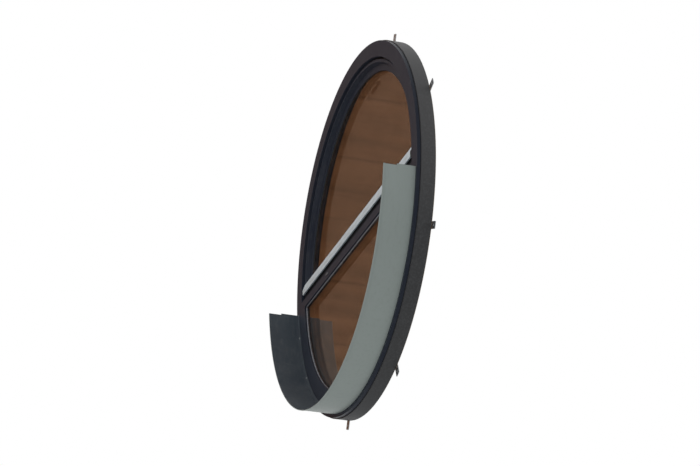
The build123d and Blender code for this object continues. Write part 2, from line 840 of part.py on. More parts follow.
def stay_slide():
    """Angle on the sash whose shelf has the slot for the arm's pin."""
    x = slide_x
    half = stay_slot_travel / 2 + stay_pin_radius + slide_margin
    top = stay_level - stay_plate_drop
    back = sash_proud
    plate = block(x - half, x + half, back, back + stay_plate, slide_foot, top)
    shelf = block(x - half, x + half, back, stay_proud + 12, top - stay_plate, top)
    shelf = fillet(shelf.edges().filter_by(Axis.Z).group_by(Axis.Y)[-1], 5)
    width = stay_pin_radius + stay_slot_play
    reach = stay_slot_travel / 2 + 2
    slot = block(x - reach, x + reach, stay_proud - width, stay_proud + width, top - 10, top + 1)
    ends = [Pos(x + s * reach, stay_proud, top) * Cylinder(width, 20) for s in (-1, 1)]
    return plate + shelf - slot - ends[0] - ends[1]


def parts():
    """Every node by name."""
    frame_places = frame_screw_places() + keep_screw_places()
    sash_places = sash_screw_places() + edge_screw_places()
    timber = frame_timber()
    within = cylinder(transom_seat, -far, far)
    ring = keep_pockets(bored(timber - within, frame_places))
    for place in sill_screw_places():
        ring = ring - place * Cylinder(shank_radius + screw_play, 80)
    cladding = frame_cladding()
    for place in sill_screw_places():
        cladding = cladding - place * Cylinder(shank_radius + screw_play, 20)
    transom_zone = block(-far, far, -far, far, fixed_sight_level, transom_top)
    transom_zone = transom_zone & cylinder(fixed_sight_radius + sheet, -far, far)
    wood = bored(lock_pockets(sash_timber()), sash_places)
    metal = sash_cladding()
    fixed_back = unit - fixed_glass_front
    fixed_beads = beads(lower, fixed_back + gasket_thick, fixed_back + fixed_bead_depth)
    sash_beads = beads(upper, unit - sash_glass_front + gasket_thick, sash_bead_proud)
    nodes = {
        "frame_ring": ring,
        "transom": bored(timber & within, frame_places),
        "cladding_arch": cladding & above(transom_top),
        "cladding_lower": (cladding & below(transom_top)) - transom_zone,
        "cladding_transom": cladding & transom_zone,
        "cladding_clips": frame_clips(),
        "rain_rail": rain_rail(),
        "rebate_gasket": border(
            upper, sash_width - 2 - stop_seal_width, sash_width - 2, stop_back, -sash_front - seal_gap
        ),
        "lower_bead_arc": in_lengths(fixed_beads & below(fixed_sight_level), 180),
        "lower_bead_top": fixed_beads & above(fixed_sight_level),
        "lower_setting_blocks": fixed_blocks(),
        "sill": sill(),
        "sill_screws": [place * sill_screw() for place in sill_screw_places()],
        "sealing_tape": sealing_tape(),
        "fixing_lugs": [bored(turned(lug(), a), frame_places) for a in lug_angles],
        "frame_screws": [place * screw() for place in frame_places],
        "keep": keep(),
        "stay_bracket": bored(stay_bracket(), frame_places),
        "stay_pivot": stay_pivot(),
        "sash_arch": wood & above(sash_sight_level),
        "sash_rail": wood & below(sash_sight_level),
        "sash_cladding_arch": metal & above(sash_sight_level),
        "sash_cladding_rail": metal & below(sash_sight_level),
        "sash_clips": sash_clips(),
        "weather_bar": weather_bar(),
        "overlap_gasket": border(
            upper, rebate + 2, rebate + 2 + overlap_seal_width, seal_gap, overlap_gap
        ),
        "upper_bead_arc": in_lengths(sash_beads & above(sash_sight_level), 0),
        "upper_bead_bottom": sash_beads & below(sash_sight_level),
        "upper_setting_blocks": sash_blocks(),
        "sash_screws": [place * screw() for place in sash_places],
        "stay_slide": bored(stay_slide(), sash_places),
        "lock_case": lock_case(),
        "faceplate": faceplate(),
        "rosette": rosette(),
        "handle": handle(),
        "spindle_cam": spindle_cam(),
        "lock_bolt": lock_bolt(),
        "stay_arm": stay_arm(),
    }
    nodes.update(glazing(lower, fixed_glass_front, "lower"))
    nodes.update(glazing(upper, sash_glass_front, "upper"))
    nodes.update(gaskets(lower, fixed_glass_front, fixed_lip_back, "lower"))
    nodes.update(gaskets(upper, sash_glass_front, sash_lip_back, "upper"))
    for name, x in hinge_places.items():
        nodes["hinge_frame_leaf_" + name] = bored(hinge_frame_leaf(x), frame_places)
        nodes["hinge_sash_leaf_" + name] = bored(hinge_sash_leaf(x), sash_places)
        nodes["hinge_pin_" + name] = hinge_pin(x)
    return nodes


os.makedirs("parts", exist_ok=True)
for name, made in parts().items():
    pieces = made if isinstance(made, list) else [made]
    solids = [solid for piece in pieces for solid in piece.solids()]
    shape = solids[0] if len(solids) == 1 else Compound(children=solids)
    export_step(shape, "parts/" + name + ".step")
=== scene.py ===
import json
import math

import bmesh
import bpy
from mathutils import Matrix, Vector


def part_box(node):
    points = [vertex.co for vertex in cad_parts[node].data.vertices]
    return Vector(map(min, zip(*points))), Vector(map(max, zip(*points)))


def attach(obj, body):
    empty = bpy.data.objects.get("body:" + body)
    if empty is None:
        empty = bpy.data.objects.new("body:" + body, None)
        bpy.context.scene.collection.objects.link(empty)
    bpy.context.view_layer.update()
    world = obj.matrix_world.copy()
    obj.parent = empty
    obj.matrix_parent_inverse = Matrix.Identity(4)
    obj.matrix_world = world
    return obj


bl_info = {
    "name": "Round Window Finish",
    "version": (1, 0, 0),
    "blender": (4, 5, 0),
    "location": "3D View > Sidebar > Round Window",
    "description": "Finishes, small fittings and a studio for a round timber and aluminium window",
    "category": "Object",
}

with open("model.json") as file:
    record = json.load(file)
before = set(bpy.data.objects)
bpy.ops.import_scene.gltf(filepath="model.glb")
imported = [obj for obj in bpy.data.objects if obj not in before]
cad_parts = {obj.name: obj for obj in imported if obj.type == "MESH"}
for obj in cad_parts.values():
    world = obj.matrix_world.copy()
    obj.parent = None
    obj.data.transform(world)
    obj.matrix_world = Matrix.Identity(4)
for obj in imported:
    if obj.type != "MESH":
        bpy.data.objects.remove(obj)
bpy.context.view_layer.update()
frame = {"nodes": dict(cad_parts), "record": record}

# Places of the window that finishes and fittings line up with, in metres
SILL_LOW, SILL_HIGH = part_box("sill")
BAR_LOW, BAR_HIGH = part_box("weather_bar")
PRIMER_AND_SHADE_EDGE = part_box("upper_pane_outer")[0].y
TRAY_RADIUS = -SILL_LOW.z - 0.009   # the sill's back lies outside it, its screw holes inside
NOSE_HIGHLIGHT_DEPTH = 0.0006                 # front of the sill's hem that has the pale coat of its back, as a painted highlight along the nose
COAT_EDGE = 0.0005                  # over which one coat of the sill gives way to the other
CUT_DEPTH = 0.01                    # below the sill's top, under both steps of its ends
CUT_EDGE = 0.002                    # over which the bare metal of its ends begins
PRIMER_AND_SHADE_WIDTH = 0.001                 # over which the timber's dark primer and painted gap shade end

# Nodes whose finish isn't the one that their material slot names
OTHER_FINISH = {
    "transom": "timber_level",
    "sash_rail": "timber_level",
    "lower_bead_top": "timber_level",
    "upper_bead_bottom": "timber_level",
    "lower_gasket_outer": "seal_grey",
}

# Colours of dust, wear, small parts and the timber's dark primer, which also paints shade into the
# gaps
METAL_DUST = (0.2, 0.19, 0.175)
FACE_DUST = (0.17, 0.175, 0.175)
BACK_DUST = (0.12, 0.125, 0.115)
SCUFF = (0.16, 0.17, 0.17)
CUT_METAL = (0.36, 0.37, 0.38)
PRIMER_AND_GAP_SHADE = (0.022, 0.021, 0.024)
BRIGHT_ZINC = (0.52, 0.53, 0.55)
DULL_ZINC = (0.3, 0.3, 0.29)
SATIN_METAL = (0.46, 0.46, 0.47)
SPACER_METAL = (0.3, 0.3, 0.31)
BLACK_COAT = (0.012, 0.012, 0.014)
BLACK_SEALANT = (0.012, 0.012, 0.012)
BLACK_RUBBER = (0.015, 0.015, 0.016)
GREY_RUBBER = (0.3, 0.31, 0.345)
DARK_PLASTIC = (0.03, 0.03, 0.03)

# Lengths of timber in the ring, in metres
START_SHIFT, DEPTH_SHIFT = 1.7, 0.31    # from one length's place in the plank to the next one's
FINGER_WIDTH, FINGER_REACH, GLUE_WIDTH = 0.004, 0.006, 0.0009

# Small fittings, in metres
PIN_PROFILE = ((0, -1), (0.9, -1), (1, 0), (0.85, 0.25), (0.4, 0.38), (0, 0.4))  # of radius 1
PIN_MARGIN = 0.07       # from a level bead's end to its first pin
PIN_MARGIN_ANGLE = 4    # degrees, from the corner of a curved bead to its first pin
CAP_SHAPE = 0.32        # height of a drain cap as a share of its width
CAP_RISE = 0.0035
CAP_SUNK = 0.002        # foot of a drain cap behind the front it stands on
BAR_NOSE = 0.03         # height of the weather bar's upright nose
END_FOOT = 0.009        # width of a bar end at its foot
END_ROOT = 0.012        # height of a bar end at the sash
ROOT_GAP = 0.0025       # from there to the sash
CREST_DROP = 0.013      # from the top of the bar to the top of its ends
END_RIM = 0.0006        # by which a bar end stands proud of the bar
END_LAP = 0.0004        # by which it reaches over the bar
END_SOFTNESS = 0.0006   # radius of its edges
TOWARDS_ROOM, TOWARDS_OUTSIDE = (0, 1, 0), (0, -1, 0)

# Stage: colours, and sizes in metres
AIR = (0.93, 0.965, 1.0)
WHITE = (1.0, 1.0, 1.0)
BLACK = (0.0, 0.0, 0.0)
FLOOR_SHADES = ((0.8, 0.8, 0.79), (0.84, 0.84, 0.83))
FLOOR_REACH = 60
FAR_CLIP = 200.0
BOARD_CORNERS = ((-4.2, -6.0, -1.6), (-4.2, 0.0, -1.6), (-1.2, 0.0, 4.4), (-1.2, -6.0, 4.4))
PLANK_WIDTH, PLANK_JOINT = 0.18, 0.012
SOFT_LIGHTS = (  # name, place, what it is turned to, width, setting that holds its power
    ("sky_left", (-5.5, -5.0, 6.0), (0, 0, 0), 7.0, "left_power"),
    ("sky_right", (7.5, -5.0, 4.0), (0, 0, 0), 6.0, "right_power"),
    ("ground_bounce", (3.0, -5.0, -5.0), (0, 0, -0.3), 6.0, "ground_power"),
    ("room_lamp", (2.0, 7.0, 3.5), (0, 0, 0), 5.0, "room_power"),
)


# Shader helpers

def new_material(name):
    """A material, its node tree and its surface shader."""
    material = bpy.data.materials.new(name)
    material.use_nodes = True
    tree = material.node_tree
    return material, tree, tree.nodes["Principled BSDF"]


def node(tree, kind, **settings):
    """A new node with its own settings, such as its operation."""
    made = tree.nodes.new(kind)
    for key, value in settings.items():
        setattr(made, key, value)
    return made


def fill(socket, value):
    """Links a socket, or sets its constant."""
    if isinstance(value, bpy.types.NodeSocket):
        socket.id_data.links.new(value, socket)
    else:
        socket.default_value = value


def settle(made, **values):
    """Links or sets a node's inputs by name, with _ in place of a space."""
    for label, value in values.items():
        fill(made.inputs[label.replace("_", " ")], value)
    return made


def maths(tree, operation, a, b=0.0, c=0.0):
    made = node(tree, "ShaderNodeMath", operation=operation)
    for socket, value in zip(made.inputs, (a, b, c)):
        fill(socket, value)
    return made.outputs[0]


def blend(tree, share, first, second):
    """Two colours mixed by a share from 0 to 1. The node's inputs 6 and 7 are its colours."""
    made = node(tree, "ShaderNodeMix", data_type="RGBA")
    for number, value in ((0, share), (6, first), (7, second)):
        fill(made.inputs[number], value)
    return made.outputs[2]


def blend_value(tree, share, first, second):
    """Two numbers mixed by a share from 0 to 1. The node's inputs 2 and 3 are its numbers."""
    made = node(tree, "ShaderNodeMix", data_type="FLOAT")
    for number, value in ((0, share), (2, first), (3, second)):
        fill(made.inputs[number], value)
    return made.outputs[0]


def spread(tree, value, low, high, to_low=0.0, to_high=1.0):
    """A number's range stretched to another range, and kept inside it."""
    made = node(tree, "ShaderNodeMapRange")
    for socket, number in zip(made.inputs, (value, low, high, to_low, to_high)):
        fill(socket, number)
    return made.outputs[0]


def stretched(tree, vector, scale):
    return settle(node(tree, "ShaderNodeMapping"), Vector=vector, Scale=scale).outputs[0]


def noise(tree, vector, scale=1.0, detail=3.0, roughness=0.5):
    made = node(tree, "ShaderNodeTexNoise")
    settle(made, Vector=vector, Scale=scale, Detail=detail, Roughness=roughness)
    return made.outputs["Fac"]


def split(tree, vector):
    return settle(node(tree, "ShaderNodeSeparateXYZ"), Vector=vector).outputs


def joined(tree, **parts):
    return settle(node(tree, "ShaderNodeCombineXYZ"), **parts).outputs[0]


def place(tree):
    """The shaded point in the window's frame, where every piece has its origin."""
    return node(tree, "ShaderNodeTexCoord").outputs["Object"]


def facing(tree):
    return node(tree, "ShaderNodeNewGeometry").outputs["Normal"]


def off_axis(tree, point):
    """Distance of a split point from the window's axis."""
    high = maths(tree, "MULTIPLY", point["Z"], point["Z"])
    return maths(tree, "SQRT", maths(tree, "MULTIPLY_ADD", point["X"], point["X"], high))


def colour(rgb):
    return (*rgb, 1.0)


def toned(rgb, factor, lift=0.0):
    """A lighter or darker colour."""
    return colour(min(1.0, c * factor + lift) for c in rgb)


def bump(tree, shader, height, strength, distance):
    made = node(tree, "ShaderNodeBump")
    settle(made, Height=height, Strength=strength, Distance=distance)
    settle(shader, Normal=made.outputs[0])


# Shared effects

FLOAT, RGBA, VECTOR = "NodeSocketFloat", "NodeSocketColor", "NodeSocketVector"


def new_group(name, inputs, outputs):
    """A shader group's tree, what it is given and what it puts out."""
    tree = bpy.data.node_groups.new(name, "ShaderNodeTree")
    for label, kind, default in inputs:
        socket = tree.interface.new_socket(name=label, in_out="INPUT", socket_type=kind)
        socket.default_value = default
    for label, kind in outputs:
        tree.interface.new_socket(name=label, in_out="OUTPUT", socket_type=kind)
    return tree, node(tree, "NodeGroupInput").outputs, node(tree, "NodeGroupOutput").inputs


def use_group(tree, group, **values):
    return settle(node(tree, "ShaderNodeGroup", node_tree=group), **values).outputs


def weathering_group():
    """Dust, rain streaks and water marks on outdoor metal."""
    tree, given, out = new_group(
        "Outdoor Weathering",
        [("Clean Colour", RGBA, (0.1, 0.1, 0.1, 1)), ("Dust Colour", RGBA, (0.3, 0.28, 0.25, 1)),
         ("Dust", FLOAT, 0.3), ("Streaks", FLOAT, 0.3), ("Gloss Roughness", FLOAT, 0.35)],
        [("Colour", RGBA), ("Roughness", FLOAT)],
    )
    where = place(tree)
    patches = noise(tree, where, scale=6.0, detail=5.0, roughness=0.6)
    runs = noise(tree, stretched(tree, where, (60.0, 60.0, 2.2)), detail=4.0, roughness=0.55)
    specks = noise(tree, where, scale=420.0, detail=2.0)
    level = spread(tree, split(tree, facing(tree))["Z"], 0.2, 0.95)
    held = maths(tree, "MULTIPLY_ADD", level, 0.75, 0.25)
    settled = maths(tree, "MULTIPLY", spread(tree, patches, 0.35, 0.7), held)
    streaked = maths(tree, "MULTIPLY", spread(tree, runs, 0.5, 0.78), given["Streaks"])
    share = maths(tree, "MULTIPLY_ADD", settled, given["Dust"], streaked)
    speckled = spread(tree, specks, 0.25, 0.6, to_low=0.7, to_high=1.1)
    share = maths(tree, "MINIMUM", maths(tree, "MULTIPLY", share, speckled), 0.85)
    fill(out["Colour"], blend(tree, share, given["Clean Colour"], given["Dust Colour"]))
    fill(out["Roughness"], maths(tree, "MULTIPLY_ADD", share, 0.45, given["Gloss Roughness"]))
    return tree


def coat_group():
    """The fine uneven skin of a powder coat."""
    tree, given, out = new_group(
        "Powder Coat Skin", [("Grain Scale", FLOAT, 900.0)], [("Height", FLOAT)])
    where = place(tree)
    fine = noise(tree, where, scale=given["Grain Scale"], detail=1.0)
    slow = noise(tree, where, scale=35.0, detail=2.0)
    fill(out["Height"], maths(tree, "MULTIPLY_ADD", slow, 0.5, fine))
    return tree


def lines_group():
    """Fine lines along X on drawn and anodised metal."""
    tree, given, out = new_group(
        "Drawn Metal Lines",
        [("Metal Colour", RGBA, (0.6, 0.6, 0.6, 1)), ("Line Contrast", FLOAT, 0.12),
         ("Base Roughness", FLOAT, 0.3)],
        [("Colour", RGBA), ("Roughness", FLOAT), ("Height", FLOAT)],
    )
    where = place(tree)
    lines = noise(tree, stretched(tree, where, (6.0, 1500.0, 1500.0)), roughness=0.7)
    marks = noise(tree, where, scale=22.0, detail=4.0, roughness=0.6)
    shade = maths(tree, "MULTIPLY", maths(tree, "SUBTRACT", lines, 0.5), given["Line Contrast"])
    value = maths(tree, "ADD", maths(tree, "MULTIPLY_ADD", marks, 0.16, 0.92), shade)
    shaded = settle(node(tree, "ShaderNodeHueSaturation"), Color=given["Metal Colour"], Value=value)
    fill(out["Colour"], shaded.outputs[0])
    uneven = maths(tree, "MULTIPLY_ADD", marks, 0.18, given["Base Roughness"])
    fill(out["Roughness"], maths(tree, "MULTIPLY_ADD", lines, 0.1, uneven))
    fill(out["Height"], lines)
    return tree


def ring_group(segments):
    """Turns a point of the ring into the straight length of wood that it was cut from, and marks
    the finger joints between the lengths."""
    tree, _, out = new_group("Ring Segments", [], [("Place", VECTOR), ("Joint", FLOAT)])
    step = 2 * math.pi / segments
    point = split(tree, place(tree))
    radius = off_axis(tree, point)
    angle = maths(tree, "ARCTAN2", point["Z"], point["X"])
    number = maths(tree, "FLOOR", maths(tree, "DIVIDE", angle, step))
    middle = maths(tree, "MULTIPLY", maths(tree, "ADD", number, 0.5), step)
    away = maths(tree, "SUBTRACT", angle, middle)
    along = maths(tree, "MULTIPLY", radius, maths(tree, "SINE", away))
    across = maths(tree, "MULTIPLY", radius, maths(tree, "COSINE", away))
    # Each length starts at another place of the plank
    fill(out["Place"], joined(
        tree,
        X=maths(tree, "MULTIPLY_ADD", number, START_SHIFT, along),
        Y=maths(tree, "MULTIPLY_ADD", number, DEPTH_SHIFT, point["Y"]),
        Z=across,
    ))
    to_end = maths(tree, "SUBTRACT", step / 2, maths(tree, "ABSOLUTE", away))
    tooth = maths(tree, "PINGPONG", point["Y"], FINGER_WIDTH)
    fingers = maths(tree, "MULTIPLY_ADD", tooth, 2.0, maths(tree, "MULTIPLY", to_end, radius))
    off_joint = maths(tree, "ABSOLUTE", maths(tree, "SUBTRACT", fingers, FINGER_REACH))
    fill(out["Joint"], spread(tree, off_joint, 0.0, GLUE_WIDTH, to_low=1.0, to_high=0.0))
    return tree


def grain_group():
    """Lacquered softwood with its grain along X: growth rings, pores and a few knots."""
    tree, given, out = new_group(
        "Softwood Grain",
        [("Place", VECTOR, (0, 0, 0)), ("Light Wood", RGBA, (0.6, 0.4, 0.22, 1)),
         ("Dark Wood", RGBA, (0.36, 0.2, 0.09, 1)), ("Glue Line", FLOAT, 0.0)],
        [("Colour", RGBA), ("Roughness", FLOAT), ("Height", FLOAT)],
    )
    where = given["Place"]
    sway = noise(tree, stretched(tree, where, (1.4, 9.0, 9.0)), detail=2.0)
    rings = settle(
        node(tree, "ShaderNodeTexWave", wave_type="BANDS", bands_direction="Z", wave_profile="SAW"),
        Vector=stretched(tree, where, (0.6, 4.0, 10.0)),
        Scale=2.9,
        Distortion=7.0,
        Detail=3.0,
        Detail_Scale=0.8,
        Phase_Offset=maths(tree, "MULTIPLY", sway, 9.0),
    )
    pores = noise(tree, stretched(tree, where, (24.0, 700.0, 700.0)), roughness=0.6)
    slow = noise(tree, stretched(tree, where, (0.9, 3.0, 3.0)), detail=1.0)
    cells = settle(node(tree, "ShaderNodeTexVoronoi", feature="F1"),
                   Vector=stretched(tree, where, (2.6, 9.0, 9.0)), Scale=1.0)
    knot = spread(tree, cells.outputs["Distance"], 0.03, 0.085, to_low=0.95, to_high=0.0)
    share = spread(tree, rings.outputs["Fac"], 0.35, 1.0, to_high=0.62)
    share = maths(tree, "MULTIPLY_ADD", spread(tree, pores, 0.4, 0.7), 0.3, share)
    share = maths(tree, "ADD", share, spread(tree, slow, 0.3, 0.7, to_low=-0.1, to_high=0.26))
    share = maths(tree, "MAXIMUM", share, knot)
    share = maths(tree, "MAXIMUM", share, maths(tree, "MULTIPLY", given["Glue Line"], 0.7))
    fill(out["Colour"], blend(tree, share, given["Light Wood"], given["Dark Wood"]))
    fill(out["Roughness"], maths(tree, "MULTIPLY_ADD", pores, 0.16, 0.3))
    hollow = maths(tree, "MULTIPLY", pores, -0.6)
    fill(out["Height"], maths(tree, "SUBTRACT", hollow, given["Glue Line"]))
    return tree


def shared_effects(segments):
    """The shader groups, built once."""
    return {
        "weathering": weathering_group(),
        "coat": coat_group(),
        "lines": lines_group(),
        "ring": ring_group(segments),
        "grain": grain_group(),
    }


# Finishes

def coated_metal(name, effects, rgb, dust, streaks, roughness):
    """Matt powder-coated aluminium that stands outdoors."""
    material, tree, shader = new_material(name)
    worn = use_group(tree, effects["weathering"], Clean_Colour=colour(rgb), Dust=dust,
                     Streaks=streaks, Gloss_Roughness=roughness, Dust_Colour=colour(METAL_DUST))
    settle(shader, Base_Color=worn["Colour"], Roughness=worn["Roughness"], Specular_IOR_Level=0.06)
    skin = use_group(tree, effects["coat"])
    bump(tree, shader, skin["Height"], strength=0.12, distance=0.0006)
    return material


def sill_back(tree, point):
    """1 on the back of the sill and, as a painted highlight, on the front of its nose; 0 on its
    weather face.
    """
    outward = node(tree, "ShaderNodeVectorMath", operation="DOT_PRODUCT")
    fill(outward.inputs[0], facing(tree))
    fill(outward.inputs[1], joined(tree, X=point["X"], Z=point["Z"]))
    on_tray = spread(tree, off_axis(tree, point), TRAY_RADIUS - COAT_EDGE, TRAY_RADIUS)
    back = maths(tree, "MULTIPLY", spread(tree, outward.outputs["Value"], 0.3, 0.6), on_tray)
    nose = SILL_LOW.y + NOSE_HIGHLIGHT_DEPTH
    # The front of the hem gets the pale back coat as a painted highlight along the nose
    on_nose_highlight = spread(tree, point["Y"], nose, nose + COAT_EDGE, to_low=1.0, to_high=0.0)
    return maths(tree, "MAXIMUM", back, on_nose_highlight)


def sill_end(tree, point):
    """1 on the cut ends of the sill, which lie level at its top."""
    level = spread(tree, split(tree, facing(tree))["Z"], 0.93, 0.97)
    foot = SILL_HIGH.z - CUT_DEPTH
    return maths(tree, "MULTIPLY", level, spread(tree, point["Z"], foot - CUT_EDGE, foot))


def sill_metal(effects):
    """Slate coat on the sill's weather face, pale lacquer on its back and as a painted highlight on
    its nose, bare metal on its ends.
    """
    look = bpy.context.scene.window_finish
    material, tree, shader = new_material("sill_sheet")
    where = place(tree)
    point = split(tree, where)
    face = use_group(tree, effects["weathering"], Clean_Colour=colour(look.sill_face), Dust=0.3,
                     Streaks=0.16, Gloss_Roughness=0.3, Dust_Colour=colour(FACE_DUST))
    back = use_group(tree, effects["weathering"], Clean_Colour=colour(look.sill_back), Dust=0.16,
                     Streaks=0.16, Gloss_Roughness=0.42, Dust_Colour=colour(BACK_DUST))
    scuffs = noise(tree, stretched(tree, where, (90.0, 12.0, 30.0)), detail=5.0, roughness=0.7)
    scuffed = spread(tree, scuffs, 0.6, 0.78, to_high=0.45)
    front = blend(tree, scuffed, face["Colour"], colour(SCUFF))
    on_back_and_nose_highlight = sill_back(tree, point)
    coated = blend(tree, on_back_and_nose_highlight, front, back["Colour"])
    settle(shader,
           Base_Color=blend(tree, sill_end(tree, point), coated, colour(CUT_METAL)),
           Roughness=blend_value(tree, on_back_and_nose_highlight, face["Roughness"], back["Roughness"]))
    skin = use_group(tree, effects["coat"])
    dents = noise(tree, where, scale=5.0, detail=2.0)
    dented = maths(tree, "MULTIPLY_ADD", dents, 14.0, skin["Height"])
    bump(tree, shader, dented, strength=0.1, distance=0.0006)
    return material


def drawn_metal(name, effects, rgb, contrast, roughness):
    """Bare or anodised metal with fine lines."""
    material, tree, shader = new_material(name)
    lines = use_group(tree, effects["lines"], Metal_Colour=colour(rgb), Line_Contrast=contrast,
                      Base_Roughness=roughness)
    settle(shader, Metallic=1.0, Base_Color=lines["Colour"], Roughness=lines["Roughness"])
    bump(tree, shader, lines["Height"], strength=0.06, distance=0.0003)
    return material


def zinc_metal():
    """Bright zinc plating with its blotchy crystals."""
    material, tree, shader = new_material("zinc_steel")
    where = place(tree)
    cells = settle(node(tree, "ShaderNodeTexVoronoi", feature="SMOOTH_F1"), Vector=where,
                   Scale=160.0)
    blotch = noise(tree, where, scale=60.0, detail=4.0, roughness=0.6)
    dull = maths(tree, "MULTIPLY_ADD", cells.outputs["Distance"], 0.5,
                 maths(tree, "MULTIPLY", blotch, 0.5))
    settle(shader, Metallic=1.0,
           Base_Color=blend(tree, dull, colour(BRIGHT_ZINC), colour(DULL_ZINC)),
           Roughness=spread(tree, blotch, 0.3, 0.7, to_low=0.26, to_high=0.46))
    bump(tree, shader, blotch, strength=0.08, distance=0.0003)
    return material


def timber(name, effects, curved):
    """Lacquered softwood, near-black on the outside behind the metal's edges: a dark primer that
    also stands in as painted shade in the gaps.
    Curved pieces are glued up from straight lengths."""
    look = bpy.context.scene.window_finish
    material, tree, shader = new_material(name)
    where = place(tree)
    wood = {"Place": where, "Light_Wood": colour(look.light_wood),
            "Dark_Wood": colour(look.dark_wood)}
    if curved:
        cut = use_group(tree, effects["ring"])
        wood.update(Place=cut["Place"], Glue_Line=cut["Joint"])
    grain = use_group(tree, effects["grain"], **wood)
    # Near-black outside the panes: dark primer, and painted shade in the gaps behind the metal
    outside = spread(tree, split(tree, where)["Y"], PRIMER_AND_SHADE_EDGE - PRIMER_AND_SHADE_WIDTH, PRIMER_AND_SHADE_EDGE,
                     to_low=1.0, to_high=0.0)
    settle(shader, Base_Color=blend(tree, outside, grain["Colour"], colour(PRIMER_AND_GAP_SHADE)),
           Roughness=grain["Roughness"], Coat_Weight=0.35, Coat_Roughness=0.22)
    bump(tree, shader, grain["Height"], strength=0.16, distance=0.0004)
    return material


def glass():
    """Float glass with a bronze sun coating, a little uneven in tone."""
    look = bpy.context.scene.window_finish
    material, tree, shader = new_material("pane_glass")
    smear = noise(tree, stretched(tree, place(tree), (3.0, 3.0, 9.0)), detail=4.0, roughness=0.6)
    tint = blend(tree, spread(tree, smear, 0.4, 0.8), colour(look.glass_tint),
                 toned(look.glass_tint, 1.12, lift=0.01))
    settle(shader, Transmission_Weight=1.0, IOR=1.52, Roughness=0.0, Base_Color=tint)
    return material


def seal(name, rgb, roughness):
    """Rubber, sealant or plastic with a chalky bloom."""
    material, tree, shader = new_material(name)
    where = place(tree)
    bloom = noise(tree, where, scale=90.0, detail=5.0, roughness=0.65)
    chalky = spread(tree, bloom, 0.45, 0.8)
    settle(shader, Base_Color=blend(tree, chalky, colour(rgb), toned(rgb, 2.2, lift=0.012)),
           Roughness=spread(tree, bloom, 0.3, 0.8, to_low=roughness, to_high=roughness + 0.2))
    grain = noise(tree, where, scale=700.0, detail=2.0)
    bump(tree, shader, grain, strength=0.12, distance=0.0003)
    return material


def finishes():
    """Every finish, by the name of its material slot."""
    look = bpy.context.scene.window_finish
    effects = shared_effects(look.ring_segments)
    return {
        "timber": timber("timber_ring", effects, curved=True),
        "timber_level": timber("timber_level", effects, curved=False),
        "cladding": coated_metal("cladding", effects, look.cladding,
                                 dust=0.07, streaks=0.06, roughness=0.34),
        "sill_sheet": sill_metal(effects),
        "silver_aluminium": drawn_metal("silver_aluminium", effects, look.bar_metal,
                                        contrast=0.14, roughness=0.46),
        "black_aluminium": coated_metal("black_aluminium", effects, BLACK_COAT,
                                        dust=0.2, streaks=0.05, roughness=0.4),
        "clip_plastic": seal("clip_plastic", DARK_PLASTIC, roughness=0.45),
        "pane_glass": glass(),
        "spacer_steel": drawn_metal("spacer_steel", effects, SPACER_METAL,
                                    contrast=0.2, roughness=0.4),
        "sealant": seal("sealant", BLACK_SEALANT, roughness=0.35),
        "seal_rubber": seal("seal_rubber", BLACK_RUBBER, roughness=0.5),
        "seal_grey": seal("seal_grey", GREY_RUBBER, roughness=0.42),
        "zinc_steel": zinc_metal(),
        "satin_fittings": drawn_metal("satin_fittings", effects, SATIN_METAL,
                                      contrast=0.16, roughness=0.28),
    }


class WINDOW_OT_finishes(bpy.types.Operator):
    """Give every node of the window its finish"""
    bl_idname = "window.finishes"
    bl_label = "Finishes"

    def execute(self, context):
        made = finishes()
        for part in frame["record"]["subparts"]:
            name = part["node"]
            piece = frame["nodes"][name]
            piece.data.materials.clear()
            piece.data.materials.append(made[OTHER_FINISH.get(name, part["material_slot"])])
        return {"FINISHED"}


# Small fittings

def new_object(name, data):
    """An object at the origin, linked to the scene."""
    made = bpy.data.objects.new(name, data)
    bpy.context.scene.collection.objects.link(made)
    return made


def plain_mesh(source, name, body, slot):
    """Bakes an object's modifiers into a plain mesh at the origin that rides on a body. Its
    finish has the name of its slot."""
    graph = bpy.context.evaluated_depsgraph_get()
    mesh = bpy.data.meshes.new_from_object(source.evaluated_get(graph), depsgraph=graph)
    mesh.transform(source.matrix_world)
    mesh.name = name
    bpy.data.objects.remove(source)
    made = new_object(name, mesh)
    mesh.materials.clear()
    mesh.materials.append(bpy.data.materials[slot])
    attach(made, body)


def solid_of(name, builder, *details):
    """A closed mesh object whose faces point outwards."""
    shape = bmesh.new()
    builder(shape, *details)
    bmesh.ops.remove_doubles(shape, verts=shape.verts, dist=1e-6)
    bmesh.ops.recalc_face_normals(shape, faces=shape.faces)
    mesh = bpy.data.meshes.new(name)
    shape.to_mesh(mesh)
    shape.free()
    return new_object(name, mesh)


def lathe(shape, profile, steps=12):
    """Turns (radius, height) points round the Z axis. Both ends lie on the axis."""
    rows = []
    for radius, height in profile:
        turns = [2 * math.pi * i / steps for i in range(steps if radius else 1)]
        rows.append([shape.verts.new((radius * math.cos(a), radius * math.sin(a), height))
                     for a in turns])
    for low, high in zip(rows, rows[1:]):
        for i in range(steps):
            j = (i + 1) % steps
            corners = (low[i % len(low)], low[j % len(low)],
                       high[j % len(high)], high[i % len(high)])
            shape.faces.new(list(dict.fromkeys(corners)))


def drain_cap(shape, width, height, steps=32):
    """A long cap with round ends and a softened rim, along +Z, with its foot below Z = 0."""
    levels = ((1.0, -CAP_SUNK), (1.0, CAP_RISE * 0.5), (0.93, CAP_RISE * 0.85), (0.8, CAP_RISE))
    rings = []
    for scale, level in levels:
        ring = []
        for i in range(steps):
            across = math.cos(2 * math.pi * i / steps)
            up = math.sin(2 * math.pi * i / steps)
            side = 1 if across > 0 else -1
            x = side * (width - height) / 2 + across * height / 2
            ring.append(shape.verts.new((x * scale, up * height / 2 * scale, level)))
        rings.append(ring)
    for low, high in zip(rings, rings[1:]):
        for i in range(steps):
            j = (i + 1) % steps
            shape.faces.new((low[i], low[j], high[j], high[i]))
    shape.faces.new(list(reversed(rings[0])))
    shape.faces.new(rings[-1])


